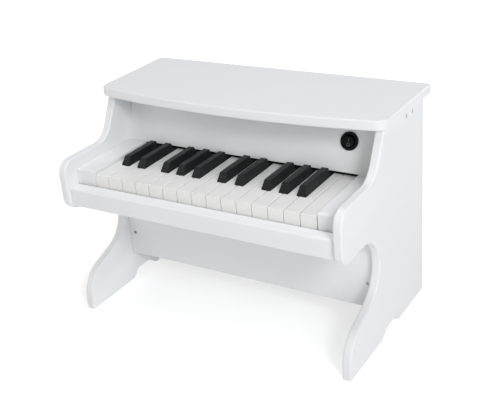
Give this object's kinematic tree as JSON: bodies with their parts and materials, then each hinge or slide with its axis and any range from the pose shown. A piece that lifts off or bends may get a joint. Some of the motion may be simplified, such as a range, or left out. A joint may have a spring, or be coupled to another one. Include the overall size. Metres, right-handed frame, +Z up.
{
  "type": "toy piano",
  "caption": "Upright toy piano of white painted board with keys that turn on a rod, a round rocker switch, an inner sound circuit and a battery bay in the back.",
  "frame": {"origin": "on the floor under the middle of the whole object", "axes": "+Z up, the front with the keys faces -Y, +X to the player's right"},
  "size_m": [0.39, 0.237, 0.273],
  "materials": {
    "white_paint": "white satin paint on fibreboard",
    "raw_wood": "planed softwood",
    "white_key_plastic": "moulded, semi gloss",
    "black_key_plastic": "moulded, satin",
    "switch_plastic": "moulded, semi gloss",
    "grey_plastic": "moulded",
    "battery_plastic": "moulded, fine texture",
    "steel": "zinc plated",
    "magnet": "sintered ferrite",
    "cone_paper": "pressed black paper",
    "felt": "pressed wool felt",
    "circuit_board": "solder mask on laminate",
    "contact_rubber": "silicone"
  },
  "bodies": {
    "case": {"back_panel": "white_paint", "back_panel_screws": "steel", "battery_box": "battery_plastic", "battery_contacts": "steel", "bed_dowels": "raw_wood", "contact_board": "circuit_board", "contact_strip": "contact_rubber", "fallboard": "white_paint", "front_rail": "white_paint", "front_stop_felt": "felt", "key_bed": "white_paint", "key_frame": "grey_plastic", "key_pivot_rod": "steel", "key_return_comb": "steel", "knee_board": "white_paint", "knee_board_screws": "steel", "knee_cleats": "raw_wood", "left_end_block": "white_paint", "left_side_panel": "white_paint", "lid": "white_paint", "lid_cleats": "raw_wood", "right_end_block": "white_paint", "right_side_panel": "white_paint", "side_panel_screws": "steel", "small_screws": "steel", "sound_board": "circuit_board", "sound_board_spacers": "grey_plastic", "speaker_cone": "cone_paper", "speaker_frame": "steel", "speaker_magnet": "magnet", "switch_body": "switch_plastic", "tail_stop_felt": "felt"},
    "black_key_01": {"black_key_01": "black_key_plastic"},
    "black_key_02": {"black_key_02": "black_key_plastic"},
    "black_key_03": {"black_key_03": "black_key_plastic"},
    "black_key_04": {"black_key_04": "black_key_plastic"},
    "black_key_05": {"black_key_05": "black_key_plastic"},
    "black_key_06": {"black_key_06": "black_key_plastic"},
    "black_key_07": {"black_key_07": "black_key_plastic"},
    "black_key_08": {"black_key_08": "black_key_plastic"},
    "black_key_09": {"black_key_09": "black_key_plastic"},
    "black_key_10": {"black_key_10": "black_key_plastic"},
    "white_key_01": {"white_key_01": "white_key_plastic"},
    "white_key_02": {"white_key_02": "white_key_plastic"},
    "white_key_03": {"white_key_03": "white_key_plastic"},
    "white_key_04": {"white_key_04": "white_key_plastic"},
    "white_key_05": {"white_key_05": "white_key_plastic"},
    "white_key_06": {"white_key_06": "white_key_plastic"},
    "white_key_07": {"white_key_07": "white_key_plastic"},
    "white_key_08": {"white_key_08": "white_key_plastic"},
    "white_key_09": {"white_key_09": "white_key_plastic"},
    "white_key_10": {"white_key_10": "white_key_plastic"},
    "white_key_11": {"white_key_11": "white_key_plastic"},
    "white_key_12": {"white_key_12": "white_key_plastic"},
    "white_key_13": {"white_key_13": "white_key_plastic"},
    "white_key_14": {"white_key_14": "white_key_plastic"},
    "white_key_15": {"white_key_15": "white_key_plastic"},
    "switch_rocker": {"switch_rocker": "switch_plastic"},
    "battery_door": {"battery_door": "battery_plastic", "battery_door_screw": "steel"}
  },
  "joints": [
    {"name": "black_key_01_hinge", "type": "hinge", "parent": "case", "child": "black_key_01", "pos_m": [0, 0.0587, 0.18451], "axis": [1, 0, 0], "range_deg": [0, 2], "stiffness_Nm_per_rad": 0.4, "springref_deg": -8.59},
    {"name": "black_key_02_hinge", "type": "hinge", "parent": "case", "child": "black_key_02", "pos_m": [0, 0.0587, 0.18451], "axis": [1, 0, 0], "range_deg": [0, 2], "stiffness_Nm_per_rad": 0.4, "springref_deg": -8.59},
    {"name": "black_key_03_hinge", "type": "hinge", "parent": "case", "child": "black_key_03", "pos_m": [0, 0.0587, 0.18451], "axis": [1, 0, 0], "range_deg": [0, 2], "stiffness_Nm_per_rad": 0.4, "springref_deg": -8.59},
    {"name": "black_key_04_hinge", "type": "hinge", "parent": "case", "child": "black_key_04", "pos_m": [0, 0.0587, 0.18451], "axis": [1, 0, 0], "range_deg": [0, 2], "stiffness_Nm_per_rad": 0.4, "springref_deg": -8.59},
    {"name": "black_key_05_hinge", "type": "hinge", "parent": "case", "child": "black_key_05", "pos_m": [0, 0.0587, 0.18451], "axis": [1, 0, 0], "range_deg": [0, 2], "stiffness_Nm_per_rad": 0.4, "springref_deg": -8.59},
    {"name": "black_key_06_hinge", "type": "hinge", "parent": "case", "child": "black_key_06", "pos_m": [0, 0.0587, 0.18451], "axis": [1, 0, 0], "range_deg": [0, 2], "stiffness_Nm_per_rad": 0.4, "springref_deg": -8.59},
    {"name": "black_key_07_hinge", "type": "hinge", "parent": "case", "child": "black_key_07", "pos_m": [0, 0.0587, 0.18451], "axis": [1, 0, 0], "range_deg": [0, 2], "stiffness_Nm_per_rad": 0.4, "springref_deg": -8.59},
    {"name": "black_key_08_hinge", "type": "hinge", "parent": "case", "child": "black_key_08", "pos_m": [0, 0.0587, 0.18451], "axis": [1, 0, 0], "range_deg": [0, 2], "stiffness_Nm_per_rad": 0.4, "springref_deg": -8.59},
    {"name": "black_key_09_hinge", "type": "hinge", "parent": "case", "child": "black_key_09", "pos_m": [0, 0.0587, 0.18451], "axis": [1, 0, 0], "range_deg": [0, 2], "stiffness_Nm_per_rad": 0.4, "springref_deg": -8.59},
    {"name": "black_key_10_hinge", "type": "hinge", "parent": "case", "child": "black_key_10", "pos_m": [0, 0.0587, 0.18451], "axis": [1, 0, 0], "range_deg": [0, 2], "stiffness_Nm_per_rad": 0.4, "springref_deg": -8.59},
    {"name": "white_key_01_hinge", "type": "hinge", "parent": "case", "child": "white_key_01", "pos_m": [0, 0.0587, 0.18451], "axis": [1, 0, 0], "range_deg": [0, 2], "stiffness_Nm_per_rad": 0.4, "springref_deg": -8.59},
    {"name": "white_key_02_hinge", "type": "hinge", "parent": "case", "child": "white_key_02", "pos_m": [0, 0.0587, 0.18451], "axis": [1, 0, 0], "range_deg": [0, 2], "stiffness_Nm_per_rad": 0.4, "springref_deg": -8.59},
    {"name": "white_key_03_hinge", "type": "hinge", "parent": "case", "child": "white_key_03", "pos_m": [0, 0.0587, 0.18451], "axis": [1, 0, 0], "range_deg": [0, 2], "stiffness_Nm_per_rad": 0.4, "springref_deg": -8.59},
    {"name": "white_key_04_hinge", "type": "hinge", "parent": "case", "child": "white_key_04", "pos_m": [0, 0.0587, 0.18451], "axis": [1, 0, 0], "range_deg": [0, 2], "stiffness_Nm_per_rad": 0.4, "springref_deg": -8.59},
    {"name": "white_key_05_hinge", "type": "hinge", "parent": "case", "child": "white_key_05", "pos_m": [0, 0.0587, 0.18451], "axis": [1, 0, 0], "range_deg": [0, 2], "stiffness_Nm_per_rad": 0.4, "springref_deg": -8.59},
    {"name": "white_key_06_hinge", "type": "hinge", "parent": "case", "child": "white_key_06", "pos_m": [0, 0.0587, 0.18451], "axis": [1, 0, 0], "range_deg": [0, 2], "stiffness_Nm_per_rad": 0.4, "springref_deg": -8.59},
    {"name": "white_key_07_hinge", "type": "hinge", "parent": "case", "child": "white_key_07", "pos_m": [0, 0.0587, 0.18451], "axis": [1, 0, 0], "range_deg": [0, 2], "stiffness_Nm_per_rad": 0.4, "springref_deg": -8.59},
    {"name": "white_key_08_hinge", "type": "hinge", "parent": "case", "child": "white_key_08", "pos_m": [0, 0.0587, 0.18451], "axis": [1, 0, 0], "range_deg": [0, 2], "stiffness_Nm_per_rad": 0.4, "springref_deg": -8.59},
    {"name": "white_key_09_hinge", "type": "hinge", "parent": "case", "child": "white_key_09", "pos_m": [0, 0.0587, 0.18451], "axis": [1, 0, 0], "range_deg": [0, 2], "stiffness_Nm_per_rad": 0.4, "springref_deg": -8.59},
    {"name": "white_key_10_hinge", "type": "hinge", "parent": "case", "child": "white_key_10", "pos_m": [0, 0.0587, 0.18451], "axis": [1, 0, 0], "range_deg": [0, 2], "stiffness_Nm_per_rad": 0.4, "springref_deg": -8.59},
    {"name": "white_key_11_hinge", "type": "hinge", "parent": "case", "child": "white_key_11", "pos_m": [0, 0.0587, 0.18451], "axis": [1, 0, 0], "range_deg": [0, 2], "stiffness_Nm_per_rad": 0.4, "springref_deg": -8.59},
    {"name": "white_key_12_hinge", "type": "hinge", "parent": "case", "child": "white_key_12", "pos_m": [0, 0.0587, 0.18451], "axis": [1, 0, 0], "range_deg": [0, 2], "stiffness_Nm_per_rad": 0.4, "springref_deg": -8.59},
    {"name": "white_key_13_hinge", "type": "hinge", "parent": "case", "child": "white_key_13", "pos_m": [0, 0.0587, 0.18451], "axis": [1, 0, 0], "range_deg": [0, 2], "stiffness_Nm_per_rad": 0.4, "springref_deg": -8.59},
    {"name": "white_key_14_hinge", "type": "hinge", "parent": "case", "child": "white_key_14", "pos_m": [0, 0.0587, 0.18451], "axis": [1, 0, 0], "range_deg": [0, 2], "stiffness_Nm_per_rad": 0.4, "springref_deg": -8.59},
    {"name": "white_key_15_hinge", "type": "hinge", "parent": "case", "child": "white_key_15", "pos_m": [0, 0.0587, 0.18451], "axis": [1, 0, 0], "range_deg": [0, 2], "stiffness_Nm_per_rad": 0.4, "springref_deg": -8.59},
    {"name": "switch_rocker_hinge", "type": "hinge", "parent": "case", "child": "switch_rocker", "pos_m": [0.135, 0.02013, 0.22968], "axis": [-1, 0, 0], "range_deg": [0, 18]},
    {"name": "battery_door_slide", "type": "slide", "parent": "case", "child": "battery_door", "axis": [0, 1, 0], "range_m": [0, 0.06]}
  ]
}
